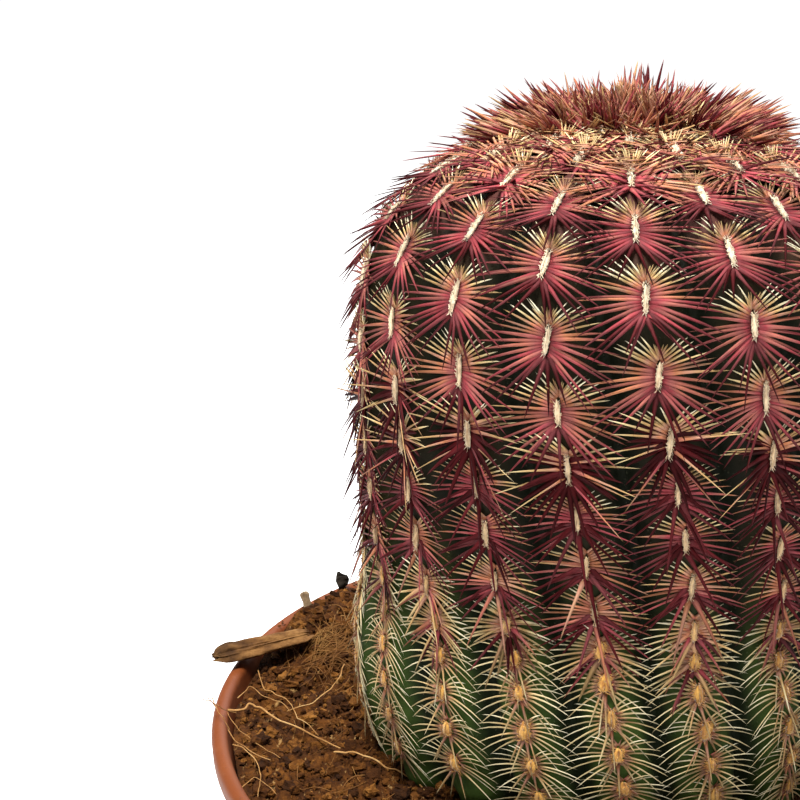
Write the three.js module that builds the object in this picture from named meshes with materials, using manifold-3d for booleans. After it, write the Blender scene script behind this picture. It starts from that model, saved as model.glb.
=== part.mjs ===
// A round cactus in a thin plastic pot: a ribbed stem set all over with spines, standing in a fill of
// peat and coir, with a chip of bark and two crumbs lying on the lip.
// Millimetres, +Z up. The origin is the middle of the pot's flat underside.

import * as THREE from 'three';
import { mergeVertices } from 'three/addons/utils/BufferGeometryUtils.js';
import Module from 'manifold-3d';

const wasm = await Module();
wasm.setup();

// Pot
const potHeight = 90;
const rimRadius = 52.5;
const baseRadius = 37;
const baseCorner = 2;
const cornerCut = 0.3;        // a rounded edge has one point between, this part of its radius in
const wall = 1.1;
const floorThickness = 1.6;
const lipThickness = 1.9;
const lipHeight = 3.2;
const lipTaper = 0.15;
const lipSlope = 0.5;
const drainRing = 24;
const drainRadius = 3.5;
const drainHoles = 6;
const drainSides = 12;
const potSides = 64;

// Stem: outline as radius at height above the rim, from the buried foot up to the dip in the crown
const stemOutline = [
  [0, -24], [9, -23.4], [16.5, -19.5], [21.4, -12], [24.2, -5], [26.6, 2], [28.2, 9], [28.4, 16], [27.4, 23],
  [27.7, 31], [28.1, 40], [28, 50], [26.8, 58], [22.2, 64], [15.6, 68], [8.5, 70.2], [3.5, 70.2], [0, 69.6],
];
const stemPlace = new THREE.Vector2(-5.7, -7);    // where the stem's axis passes the rim's plane
const stemLean = new THREE.Vector2(0.01, -0.024); // sideways drift of the axis for each mm upward
const ribCount = 18;
const ribDepth = 3.2;
const furrowFromCrown = [2, 16];   // where the furrows deepen, along the outline
const furrowFromFoot = [-16, -6];  // where they end, by height above the rim
const ribTurnAtRim = 31;      // degrees, from the front (-Y) towards +X
const ribTurnPerMm = -0.43;   // the slow spiral of the ribs
const ribsUneven = { by: 3, from: 1.2, fadesBetween: [19, 30] }; // degrees, rib, heights above the rim
const flankPart = 0.28;       // where a rib's flank bends, as a part of its width
const stemRows = 22;
const poleReach = 1.5;        // how far the last ring lies from the crown's and the foot's middle

// Areoles: steps along a rib from the crown down, in mm, as the seasons left them
const areoleSteps = [
  { step: 2.6, count: 1 },
  { step: 4.2, count: 1 },
  { step: 6.6, count: 1 },
  { step: 7, count: 3 },
  { step: 6.4, count: 1 },
  { step: 4.9, count: 4 },
  { step: 3.3, count: 2 },
  { step: 3.85, count: 8 },
];
const firstAreole = 3.4;
const areoleShift = 11;       // eighteenths of a step between the areoles of one rib and the next
const areoleHalfLength = 1.3;
const areoleHalfWidth = 0.5;
const areoleShare = 0.36;     // its half-length is at most this part of a step
const areoleWidthShare = 0.2; // its half-width is at most this part of the rib's width
const areoleShoulder = 0.45;  // where its sides turn in towards its ends
const areoleRaise = 0.35;

// Spines: length by distance from the crown's middle along the rib
const crownReach = 14;
const youngReach = 68;
const crownSpine = 5.2;
const mainSpine = 6.5;
const oldSpine = 4.6;
const spineThickness = 0.62;
const spineSpacing = 0.1;     // the least air between two spines
const lengthSpread = 0.12;
const aimSpread = { side: 0.12, out: 0.08, down: 0.16 };
const soilClearance = 0.8;

// Fill
const soilGap = 0.3;
const soilBelowRim = 2;
const soilRings = 13;
const lump = { height: 0.45, alongX: 0.55, alongY: 0.47, shift: 1.3 };
const clod = { height: 0.3, alongX: 1.1, alongY: 0.9 };
const holeGap = 0.35;
const holeSides = 60;
const holeSteps = 16;
const holeReach = 0.45;       // the part of the stem's outline that the hole follows, well past the fill
const collar = { height: 2.2, from: 25, spread: 6 }; // the fill pressed up round the stem
const heaps = [
  { x: -42, y: 15, height: 1.4, spread: 9 },
  { x: -12, y: -34, height: 3.6, spread: 9 },
];

// Loose bits on the lip
const restGap = 0.25;
const chipOuterEnd = new THREE.Vector2(-54.2, 1.2);
const chipInnerEnd = new THREE.Vector2(-44.4, 9.6);
const chipWidth = 4.4;
const chipThickness = 2;
const chipOnLip = 0.3;        // the part of its length at which it crosses the lip
const chipSides = 8;
const crumbSides = 6;
const chunkRings = 5;
const chunkEnds = 0.06;       // how far in from its tips a chunk is cut, as a part of its length
const roughness = 0.15;
const paleCrumbPlace = new THREE.Vector2(-46.9, 20.8);
const darkCrumbPlace = new THREE.Vector2(-43.2, 27.4);

function seededRandom(seed) {
  let state = seed;
  return () => {
    state = (state * 1664525 + 1013904223) % 4294967296;
    return state / 4294967296;
  };
}

function toSolid(geometry) {
  geometry.deleteAttribute('normal');
  geometry.deleteAttribute('uv');
  const merged = mergeVertices(geometry, 1e-4);
  return new wasm.Manifold(new wasm.Mesh({
    numProp: 3,
    vertProperties: new Float32Array(merged.attributes.position.array),
    triVerts: new Uint32Array(merged.index.array),
  }));
}

function toGeometry(solid) {
  const mesh = solid.getMesh();
  const geometry = new THREE.BufferGeometry();
  geometry.setAttribute('position', new THREE.BufferAttribute(mesh.vertProperties, 3));
  geometry.setIndex(new THREE.BufferAttribute(mesh.triVerts, 1));
  geometry.computeVertexNormals();
  return geometry;
}

// Profile points are [radius, height], up the outside and back to the axis
function revolve(profile, sides) {
  const points = profile.map(([radius, height]) => new THREE.Vector2(radius, height));
  const geometry = new THREE.LatheGeometry(points, sides);
  geometry.rotateX(Math.PI / 2);
  return geometry;
}

// A closed skin over rings of points, with a single point at the bottom and one at the top
function skinOverRings(bottom, rings, top) {
  const sides = rings[0].length;
  const points = [bottom, ...rings.flat(), top];
  const index = [];
  const at = (ring, side) => 1 + ring * sides + (side % sides);
  for (let side = 0; side < sides; side += 1) {
    index.push(0, at(0, side + 1), at(0, side));
    for (let ring = 0; ring < rings.length - 1; ring += 1) {
      index.push(at(ring, side), at(ring, side + 1), at(ring + 1, side + 1));
      index.push(at(ring, side), at(ring + 1, side + 1), at(ring + 1, side));
    }
    index.push(at(rings.length - 1, side), at(rings.length - 1, side + 1), points.length - 1);
  }
  const geometry = new THREE.BufferGeometry();
  geometry.setAttribute('position', new THREE.Float32BufferAttribute(points.flatMap((p) => p.toArray()), 3));
  geometry.setIndex(index);
  return geometry;
}

function namedMesh(name, geometry, color, roughness) {
  const mesh = new THREE.Mesh(geometry, new THREE.MeshStandardMaterial({ color, roughness, metalness: 0 }));
  mesh.name = name;
  return mesh;
}

// Pot: outer wall, lip and inner wall in one outline, then the drainage holes
function wallRadius(height) {
  const topRadius = rimRadius - lipThickness + wall;
  return baseRadius + (topRadius - baseRadius) * (height / potHeight);
}

function pot() {
  const lipFoot = potHeight - lipHeight;
  const lipRound = lipThickness / 2;
  const profile = [
    [0, 0],
    [baseRadius - baseCorner, 0],
    [baseRadius - baseCorner * cornerCut, baseCorner * cornerCut],
    [wallRadius(baseCorner), baseCorner],
    [wallRadius(lipFoot), lipFoot],
    [rimRadius - lipTaper, lipFoot + lipSlope],
    [rimRadius, potHeight - lipRound],
    [rimRadius - lipRound * cornerCut, potHeight - lipRound * cornerCut],
    [rimRadius - lipRound, potHeight],
    [rimRadius - lipRound * (2 - cornerCut), potHeight - lipRound * cornerCut],
    [rimRadius - lipThickness, potHeight - lipRound],
    [wallRadius(lipFoot) - wall, lipFoot],
    [wallRadius(floorThickness) - wall, floorThickness],
    [0, floorThickness],
  ];
  const drains = [];
  for (let hole = 0; hole < drainHoles; hole += 1) {
    const turn = (hole * 2 * Math.PI) / drainHoles;
    const drill = new THREE.CylinderGeometry(drainRadius, drainRadius, floorThickness * 4, drainSides);
    drill.rotateX(Math.PI / 2);
    drill.translate(drainRing * Math.cos(turn), drainRing * Math.sin(turn), floorThickness / 2);
    drains.push(toSolid(drill));
  }
  const body = toSolid(revolve(profile, potSides));
  return namedMesh('pot', toGeometry(body.subtract(wasm.Manifold.union(drains))), 0xc66a47, 0.6);
}

// Stem
const outlinePoints = stemOutline.map(([radius, height]) => new THREE.Vector2(radius, height));
const outlineCurve = new THREE.SplineCurve(outlinePoints);
outlineCurve.arcLengthDivisions = 600;
const outlineLength = outlineCurve.getLength();

// The axis leans, so a round section at a height above the rim is set off sideways
function onStem(radius, height, turn) {
  return new THREE.Vector3(
    stemPlace.x + stemLean.x * height + radius * Math.sin(turn),
    stemPlace.y + stemLean.y * height - radius * Math.cos(turn),
    potHeight + height,
  );
}

// Low down the ribs are a little narrower at the front and wider at the back
function ribTurn(rib, height) {
  const fade = 1 - THREE.MathUtils.smoothstep(height, ...ribsUneven.fadesBetween);
  const shift = ribsUneven.by * fade * Math.sin((4 * Math.PI * (rib + ribsUneven.from)) / ribCount);
  return THREE.MathUtils.degToRad(ribTurnAtRim + (rib * 360) / ribCount + ribTurnPerMm * height - shift);
}

// Crests are broad and the furrows between them narrow; both fade at the crown and below the soil
function furrow(across, fromCrown, height) {
  const atCrown = THREE.MathUtils.smoothstep(fromCrown, ...furrowFromCrown);
  const atFoot = THREE.MathUtils.smoothstep(height, ...furrowFromFoot);
  return ribDepth * atCrown * atFoot * (2 * across) ** 2;
}

// A point on the skin, across a rib from -0.5 to 0.5 of its width and down it from the crown
function skinPoint(rib, across, fromCrown) {
  const section = outlineCurve.getPointAt(1 - fromCrown / outlineLength);
  const radius = section.x - furrow(across, fromCrown, section.y);
  return onStem(radius, section.y, ribTurn(rib + across, section.y));
}

// Where an areole sits, and the outward, sideways and downward directions there
function areoleFrame(rib, fromCrown) {
  const along = 1 - fromCrown / outlineLength;
  const section = outlineCurve.getPointAt(along);
  const rise = outlineCurve.getTangentAt(along);
  const turn = ribTurn(rib, section.y);
  const radial = new THREE.Vector3(Math.sin(turn), -Math.cos(turn), 0);
  const up = new THREE.Vector3(0, 0, 1);
  const down = radial.clone().multiplyScalar(-rise.x).addScaledVector(up, -rise.y);
  const out = radial.clone().multiplyScalar(rise.y).addScaledVector(up, -rise.x);
  const side = new THREE.Vector3().crossVectors(out, down);
  const ribWidth = (2 * Math.PI * section.x) / ribCount;
  return { place: onStem(section.x, section.y, turn), ribWidth, out, side, down };
}

function areoleDistance(order) {
  let left = order;
  let distance = firstAreole;
  for (const { step, count } of areoleSteps) {
    const taken = Math.min(left, count);
    distance += taken * step;
    left -= taken;
  }
  return distance;
}

// The sectors of an areole run from its top down the left and up the right, with one spine on each.
// In the crown the spines stand up in a brush; lower down they spread over the stem like a comb.
const crownSpray = [
  { side: -0.3, out: 1, down: -0.35 },
  { side: -0.5, out: 0.9, down: 0.1 },
  { side: -0.25, out: 0.85, down: 0.55 },
  { side: 0.25, out: 0.85, down: 0.55 },
  { side: 0.5, out: 0.9, down: 0.1 },
  { side: 0.3, out: 1, down: -0.35 },
];
const stemSpray = [
  { side: -0.8, out: 0.4, down: -0.6 },
  { side: -1, out: 0.32, down: 0.1 },
  { side: -0.55, out: 0.42, down: 0.8 },
  { side: 0.55, out: 0.42, down: 0.8 },
  { side: 1, out: 0.32, down: 0.1 },
  { side: 0.8, out: 0.4, down: -0.6 },
];
const lifts = [0, 0.15, 0.3, 0.5, 0.75, 1.1];

// The nearest two points of two straight spines, as parts of their lengths
function nearestParts(one, other) {
  const a = one.tip.clone().sub(one.root);
  const b = other.tip.clone().sub(other.root);
  const gap = one.root.clone().sub(other.root);
  const aa = a.dot(a);
  const bb = b.dot(b);
  const ab = a.dot(b);
  const slack = aa * bb - ab * ab;
  let onOne = slack > 1e-9 ? (ab * b.dot(gap) - bb * a.dot(gap)) / slack : 0;
  onOne = THREE.MathUtils.clamp(onOne, 0, 1);
  const onOther = THREE.MathUtils.clamp((ab * onOne + b.dot(gap)) / bb, 0, 1);
  onOne = THREE.MathUtils.clamp((ab * onOther - a.dot(gap)) / aa, 0, 1);
  return [onOne, onOther];
}

function touches(one, other) {
  if (one.root.distanceTo(other.root) > 2 * mainSpine + 1) {
    return false;
  }
  const [onOne, onOther] = nearestParts(one, other);
  const placeOnOne = one.root.clone().lerp(one.tip, onOne);
  const placeOnOther = other.root.clone().lerp(other.tip, onOther);
  const thickness = spineThickness * (2 - onOne - onOther) + spineSpacing;
  return placeOnOne.distanceTo(placeOnOther) < thickness;
}

const grownSpines = [];

// A spine that would touch one of another areole is lifted until it is clear, or isn't grown
function growSpine(frame, areole, direction, length, root) {
  for (const lift of lifts) {
    const aim = new THREE.Vector3()
      .addScaledVector(frame.side, direction.side)
      .addScaledVector(frame.out, direction.out + lift)
      .addScaledVector(frame.down, direction.down)
      .normalize();
    const grown = { areole, root, tip: frame.place.clone().addScaledVector(aim, length) };
    const aboveSoil = grown.tip.z > soilHeight(grown.tip.x, grown.tip.y) + soilClearance;
    if (aboveSoil && !grownSpines.some((other) => other.areole !== areole && touches(grown, other))) {
      grownSpines.push(grown);
      return grown.tip;
    }
  }
  return null;
}

function spineLength(fromCrown) {
  if (fromCrown < crownReach) {
    return crownSpine;
  }
  return fromCrown < youngReach ? mainSpine : oldSpine;
}

// The stem's skin is gathered point by point and face by face. A point is known by its number and by
// its distance from the crown.
class Skin {
  constructor() {
    this.points = [];
    this.faces = [];
  }

  addPoint(point, fromCrown) {
    this.points.push(point);
    return { index: this.points.length - 1, fromCrown };
  }

  addFace(...corners) {
    this.faces.push(...corners.map((corner) => corner.index));
  }

  middleOf(...corners) {
    const [a, b, c] = corners.map((corner) => this.points[corner.index]);
    return new THREE.Triangle(a, b, c).getMidpoint(new THREE.Vector3());
  }

  // Fills the strip between a line and its neighbour to the right
  weave(leftLine, rightLine) {
    const next = (line, at) => (at < line.length - 1 ? line[at + 1].fromCrown : Infinity);
    let left = 0;
    let right = 0;
    while (left < leftLine.length - 1 || right < rightLine.length - 1) {
      if (next(leftLine, left) <= next(rightLine, right)) {
        this.addFace(leftLine[left], leftLine[left + 1], rightLine[right]);
        left += 1;
      } else {
        this.addFace(leftLine[left], rightLine[right + 1], rightLine[right]);
        right += 1;
      }
    }
  }

  // Closes the open end round a single point
  closeEnd(pole, ring) {
    ring.forEach((point, side) => this.addFace(pole, point, ring[(side + 1) % ring.length]));
  }

  geometry() {
    const coordinates = this.points.flatMap((point) => point.toArray());
    const geometry = new THREE.BufferGeometry();
    geometry.setAttribute('position', new THREE.Float32BufferAttribute(coordinates, 3));
    geometry.setIndex(this.faces);
    geometry.computeVertexNormals();
    return geometry;
  }
}

const rowDistance = (row) => poleReach + ((outlineLength - 2 * poleReach) * row) / stemRows;

function plainLine(skin, rib, across) {
  const line = [];
  for (let row = 0; row <= stemRows; row += 1) {
    line.push(skin.addPoint(skinPoint(rib, across, rowDistance(row)), rowDistance(row)));
  }
  return line;
}

function addSpine(skin, frame, areole, fromCrown, direction, corners, random) {
  const aim = {
    side: direction.side + aimSpread.side * (random() - 0.5),
    out: direction.out + aimSpread.out * (random() - 0.5),
    down: direction.down + aimSpread.down * (random() - 0.5),
  };
  const length = spineLength(fromCrown) * (1 + lengthSpread * (random() - 0.5));
  const tip = growSpine(frame, areole, aim, length, skin.middleOf(...corners));
  if (!tip) {
    skin.addFace(...corners);
    return;
  }
  const point = skin.addPoint(tip, fromCrown);
  const [middle, first, second] = corners;
  skin.addFace(middle, first, point);
  skin.addFace(first, second, point);
  skin.addFace(second, middle, point);
}

// An areole is a six-sided opening in the crest's line, filled by the roots of its spines
function addAreole(skin, rib, fromCrown, halfLength, random) {
  const frame = areoleFrame(rib, fromCrown);
  const halfWidth = Math.min(areoleHalfWidth / frame.ribWidth, areoleWidthShare);
  const corner = (across, down) => {
    const distance = fromCrown + down * halfLength;
    return skin.addPoint(skinPoint(rib, across * halfWidth, distance), distance);
  };
  const top = corner(0, -1);
  const upperLeft = corner(-1, -areoleShoulder);
  const lowerLeft = corner(-1, areoleShoulder);
  const bottom = corner(0, 1);
  const lowerRight = corner(1, areoleShoulder);
  const upperRight = corner(1, -areoleShoulder);
  const middle = skin.addPoint(frame.place.clone().addScaledVector(frame.out, areoleRaise), fromCrown);
  const ring = [top, upperLeft, lowerLeft, bottom, lowerRight, upperRight];
  const spray = fromCrown < crownReach ? crownSpray : stemSpray;
  spray.forEach((direction, sector) => {
    const corners = [middle, ring[sector], ring[(sector + 1) % ring.length]];
    addSpine(skin, frame, `${rib} at ${fromCrown}`, fromCrown, direction, corners, random);
  });
  return { left: [top, upperLeft, lowerLeft, bottom], right: [top, upperRight, lowerRight, bottom] };
}

// The crest of a rib opens round its areoles, so it has a left and a right side
function crestLines(skin, rib, random) {
  const phase = (((ribCount - rib) * areoleShift) % ribCount) / ribCount;
  const areoleCount = areoleSteps.reduce((sum, { count }) => sum + count, 0);
  const top = skin.addPoint(skinPoint(rib, 0, poleReach), poleReach);
  const crest = { left: [top], right: [top] };
  for (let order = 0; order < areoleCount; order += 1) {
    const fromCrown = areoleDistance(order + phase);
    const step = areoleDistance(order + phase + 1) - fromCrown;
    const halfLength = Math.min(areoleHalfLength, areoleShare * step);
    const { place } = areoleFrame(rib, fromCrown);
    if (place.z - halfLength > soilHeight(place.x, place.y) + soilClearance) {
      const sides = addAreole(skin, rib, fromCrown, halfLength, random);
      crest.left.push(...sides.left);
      crest.right.push(...sides.right);
    }
  }
  const covered = crest.left[crest.left.length - 1].fromCrown + soilClearance;
  for (let row = 0; row <= stemRows; row += 1) {
    if (rowDistance(row) > covered) {
      const point = skin.addPoint(skinPoint(rib, 0, rowDistance(row)), rowDistance(row));
      crest.left.push(point);
      crest.right.push(point);
    }
  }
  return crest;
}

// The skin is woven of lines from the crown to the foot: crests, flanks and furrows
function cactus() {
  const random = seededRandom(7);
  const skin = new Skin();
  const ribs = [];
  for (let rib = 0; rib < ribCount; rib += 1) {
    ribs.push({
      crest: crestLines(skin, rib, random),
      leftFlank: plainLine(skin, rib, -flankPart),
      rightFlank: plainLine(skin, rib, flankPart),
      furrow: plainLine(skin, rib, 0.5),
    });
  }
  const topRing = [];
  const footRing = [];
  ribs.forEach(({ crest, leftFlank, rightFlank, furrow: ownFurrow }, rib) => {
    const furrowBefore = ribs[(rib + ribCount - 1) % ribCount].furrow;
    skin.weave(furrowBefore, leftFlank);
    skin.weave(leftFlank, crest.left);
    skin.weave(crest.right, rightFlank);
    skin.weave(rightFlank, ownFurrow);
    for (const line of [leftFlank, crest.right, rightFlank, ownFurrow]) {
      topRing.push(line[0]);
      footRing.push(line[line.length - 1]);
    }
  });
  const crownHeight = stemOutline[stemOutline.length - 1][1];
  const footHeight = stemOutline[0][1];
  skin.closeEnd(skin.addPoint(onStem(0, crownHeight, 0), 0), topRing);
  skin.closeEnd(skin.addPoint(onStem(0, footHeight, 0), outlineLength), footRing.reverse());
  return namedMesh('cactus', skin.geometry(), 0x7a3b3a, 0.55);
}

// Fill: its top is pressed up round the stem, heaped at the front and at the back left, and crumbly
const bell = (distance, spread) => Math.exp(-(distance * distance) / (2 * spread * spread));

function soilHeight(x, y) {
  const fromStem = Math.max(0, Math.hypot(x - stemPlace.x, y - stemPlace.y) - collar.from);
  let height = potHeight - soilBelowRim + collar.height * bell(fromStem, collar.spread);
  for (const heap of heaps) {
    height += heap.height * bell(Math.hypot(x - heap.x, y - heap.y), heap.spread);
  }
  height += lump.height * Math.sin(lump.alongX * x + lump.shift) * Math.cos(lump.alongY * y);
  return height + clod.height * Math.sin(clod.alongX * x - clod.alongY * y);
}

function stemHole() {
  const profile = [[0, stemOutline[0][1] - holeGap]];
  for (let step = 1; step <= holeSteps; step += 1) {
    const along = (holeReach * step) / holeSteps;
    const point = outlineCurve.getPointAt(along);
    const rise = outlineCurve.getTangentAt(along);
    profile.push([point.x + holeGap * rise.y, point.y - holeGap * rise.x]);
  }
  profile.push([0, profile[profile.length - 1][1]]);
  const tool = revolve(profile, holeSides);
  const position = tool.attributes.position;
  for (let i = 0; i < position.count; i += 1) {
    const height = position.getZ(i);
    position.setXYZ(
      i,
      position.getX(i) + stemPlace.x + stemLean.x * height,
      position.getY(i) + stemPlace.y + stemLean.y * height,
      height + potHeight,
    );
  }
  return toSolid(tool);
}

function soil() {
  const floor = floorThickness + soilGap;
  const innerRadius = (height) => wallRadius(height) - wall - soilGap;
  const edge = innerRadius(potHeight - soilBelowRim);
  const around = (side, radius) => {
    const turn = (side * 2 * Math.PI) / potSides;
    return [radius * Math.sin(turn), -radius * Math.cos(turn)];
  };
  const foot = [];
  for (let side = 0; side < potSides; side += 1) {
    foot.push(new THREE.Vector3(...around(side, innerRadius(floor)), floor));
  }
  const rings = [foot];
  for (let step = soilRings; step > 0; step -= 1) {
    const ring = [];
    for (let side = 0; side < potSides; side += 1) {
      const height = soilHeight(...around(side, (edge * step) / soilRings));
      const radius = step === soilRings ? innerRadius(height) : (edge * step) / soilRings;
      ring.push(new THREE.Vector3(...around(side, radius), height));
    }
    rings.push(ring);
  }
  const top = new THREE.Vector3(0, 0, soilHeight(0, 0));
  const body = toSolid(skinOverRings(new THREE.Vector3(0, 0, floor), rings, top));
  return namedMesh('soil', toGeometry(body.subtract(stemHole())), 0x6b4426, 0.95);
}

// A chip or crumb: rings along the line of its underside, fuller near one end, with uneven edges
function chunk(from, to, width, thickness, sideCount, seed) {
  const random = seededRandom(seed);
  const across = new THREE.Vector3(from.y - to.y, to.x - from.x, 0).normalize();
  const rings = [];
  for (let ring = 0; ring < chunkRings; ring += 1) {
    const part = ring / (chunkRings - 1);
    const centre = from.clone().lerp(to, chunkEnds + (1 - 2 * chunkEnds) * part);
    const girth = (1 + Math.sin(Math.PI * (0.25 + 0.6 * part))) / 2;
    const points = [];
    for (let side = 0; side < sideCount; side += 1) {
      const turn = (side * 2 * Math.PI) / sideCount;
      const rough = 1 - roughness * random();
      const point = centre.clone().addScaledVector(across, (width / 2) * girth * rough * Math.cos(turn));
      point.z += (thickness / 2) * girth * (1 + rough * Math.sin(turn));
      points.push(point);
    }
    rings.push(points);
  }
  const middle = new THREE.Vector3(0, 0, thickness / 2);
  return skinOverRings(from.clone().add(middle), rings, to.clone().add(middle));
}

// The chip lies across the lip, with its inner end on the heaped fill
function barkChip() {
  const lipTop = potHeight + restGap;
  const onHeap = Math.max(lipTop, soilHeight(chipInnerEnd.x, chipInnerEnd.y) + 2 * restGap);
  const raised = lipTop + ((lipTop - onHeap) * chipOnLip) / (1 - chipOnLip);
  const from = new THREE.Vector3(chipOuterEnd.x, chipOuterEnd.y, raised);
  const to = new THREE.Vector3(chipInnerEnd.x, chipInnerEnd.y, onHeap);
  return namedMesh('bark_chip', chunk(from, to, chipWidth, chipThickness, chipSides, 3), 0x7d6244, 0.9);
}

function crumbOnLip(name, place, size, height, seed, color) {
  const from = new THREE.Vector3(place.x - size / 2, place.y - 0.2 * size, potHeight + restGap);
  const to = new THREE.Vector3(place.x + size / 2, place.y + 0.2 * size, potHeight + restGap);
  return namedMesh(name, chunk(from, to, size, height, crumbSides, seed), color, 0.9);
}

const group = new THREE.Group();
group.name = 'potted round cactus';
group.add(pot());
group.add(soil());
group.add(cactus());
group.add(barkChip());
group.add(crumbOnLip('pale_crumb', paleCrumbPlace, 2.2, 1.8, 5, 0xa08a6c));
group.add(crumbOnLip('dark_crumb', darkCrumbPlace, 1.6, 2.3, 9, 0x2b2623));

export default group;
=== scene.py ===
import math
import random
from collections import namedtuple

import bpy
import numpy as np
from mathutils import Matrix, Vector, noise


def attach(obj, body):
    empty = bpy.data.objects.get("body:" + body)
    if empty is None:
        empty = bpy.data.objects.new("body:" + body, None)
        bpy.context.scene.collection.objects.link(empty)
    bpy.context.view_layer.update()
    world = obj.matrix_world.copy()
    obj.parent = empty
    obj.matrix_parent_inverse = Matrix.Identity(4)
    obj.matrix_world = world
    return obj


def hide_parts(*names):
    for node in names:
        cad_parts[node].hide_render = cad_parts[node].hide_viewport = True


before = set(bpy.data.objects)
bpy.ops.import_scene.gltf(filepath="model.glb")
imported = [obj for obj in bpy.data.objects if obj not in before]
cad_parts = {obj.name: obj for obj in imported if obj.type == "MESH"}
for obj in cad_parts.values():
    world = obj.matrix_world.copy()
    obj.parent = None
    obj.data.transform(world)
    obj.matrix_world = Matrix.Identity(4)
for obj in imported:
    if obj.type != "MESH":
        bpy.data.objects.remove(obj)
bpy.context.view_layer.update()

MM = 0.001


# ---- Camera, light and table ----
# The plant was photographed from a little above the crown, close to, on a bright white table under a
# broad lamp from the front left; the pot runs out of the frame at the bottom.
def linked(name, data):
    thing = bpy.data.objects.new(name, data)
    bpy.context.collection.objects.link(thing)
    return thing


lens_place = Vector((0.0, -0.1815956, 0.1848743))
lens_right = Vector((0.98606, 0.166388, 0.0000974))
lens_up = Vector((-0.0501929, 0.296899, 0.953589))
lens_back = lens_right.cross(lens_up)
camera_data = bpy.data.cameras.new("camera")
camera_data.lens = 74.966
camera_data.sensor_width = 36
camera_data.clip_start = 0.01
camera = linked("camera", camera_data)
lens_turn = Matrix((lens_right, lens_up, lens_back)).transposed().to_4x4()
camera.matrix_world = Matrix.Translation(lens_place) @ lens_turn
bpy.context.scene.camera = camera
bpy.context.scene.view_settings.view_transform = "Standard"


def lamp(name, place, aim, size, power, tint=(1, 1, 1)):
    data = bpy.data.lights.new(name, "AREA")
    data.shape = "DISK"
    data.size = size
    data.energy = power
    data.color = tint
    holder = linked(name, data)
    holder.location = place
    holder.rotation_euler = (Vector(aim) - Vector(place)).to_track_quat("-Z", "Y").to_euler()


crown_middle = (-0.005, -0.008, 0.13)
lamp("key_lamp", (-0.1, -0.18, 0.74), crown_middle, 0.26, 10.0, (1.0, 0.98, 0.95))
lamp("side_lamp", (0.55, -0.35, 0.35), crown_middle, 0.5, 1.0)
lamp("back_lamp", (0.1, 0.6, 0.5), crown_middle, 0.6, 3.5)
world = bpy.data.worlds.new("white_room")
bpy.context.scene.world = world
world.use_nodes = True
background = world.node_tree.nodes["Background"].inputs
background["Color"].default_value = (1, 1, 1, 1)
background["Strength"].default_value = 0.17


class Amount:
    """A number that varies over a surface. Sums on it add the Math nodes."""

    def __init__(self, finish, socket):
        self.finish = finish
        self.socket = socket

    def sum_with(self, operation, first, second=0.0):
        return Amount(self.finish, self.finish.node("Math", {"operation": operation}, [first, second]))

    def __add__(self, other):
        return self.sum_with("ADD", self, other)

    def __sub__(self, other):
        return self.sum_with("SUBTRACT", self, other)

    def __rsub__(self, other):
        return self.sum_with("SUBTRACT", other, self)

    def __mul__(self, other):
        return self.sum_with("MULTIPLY", self, other)

    __radd__ = __add__
    __rmul__ = __mul__

    def between(self, low, high):
        """0 below low, 1 above high."""
        settings = {"interpolation_type": "SMOOTHSTEP"}
        return Amount(self.finish, self.finish.node("MapRange", settings, {0: self, 1: low, 2: high}))


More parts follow.
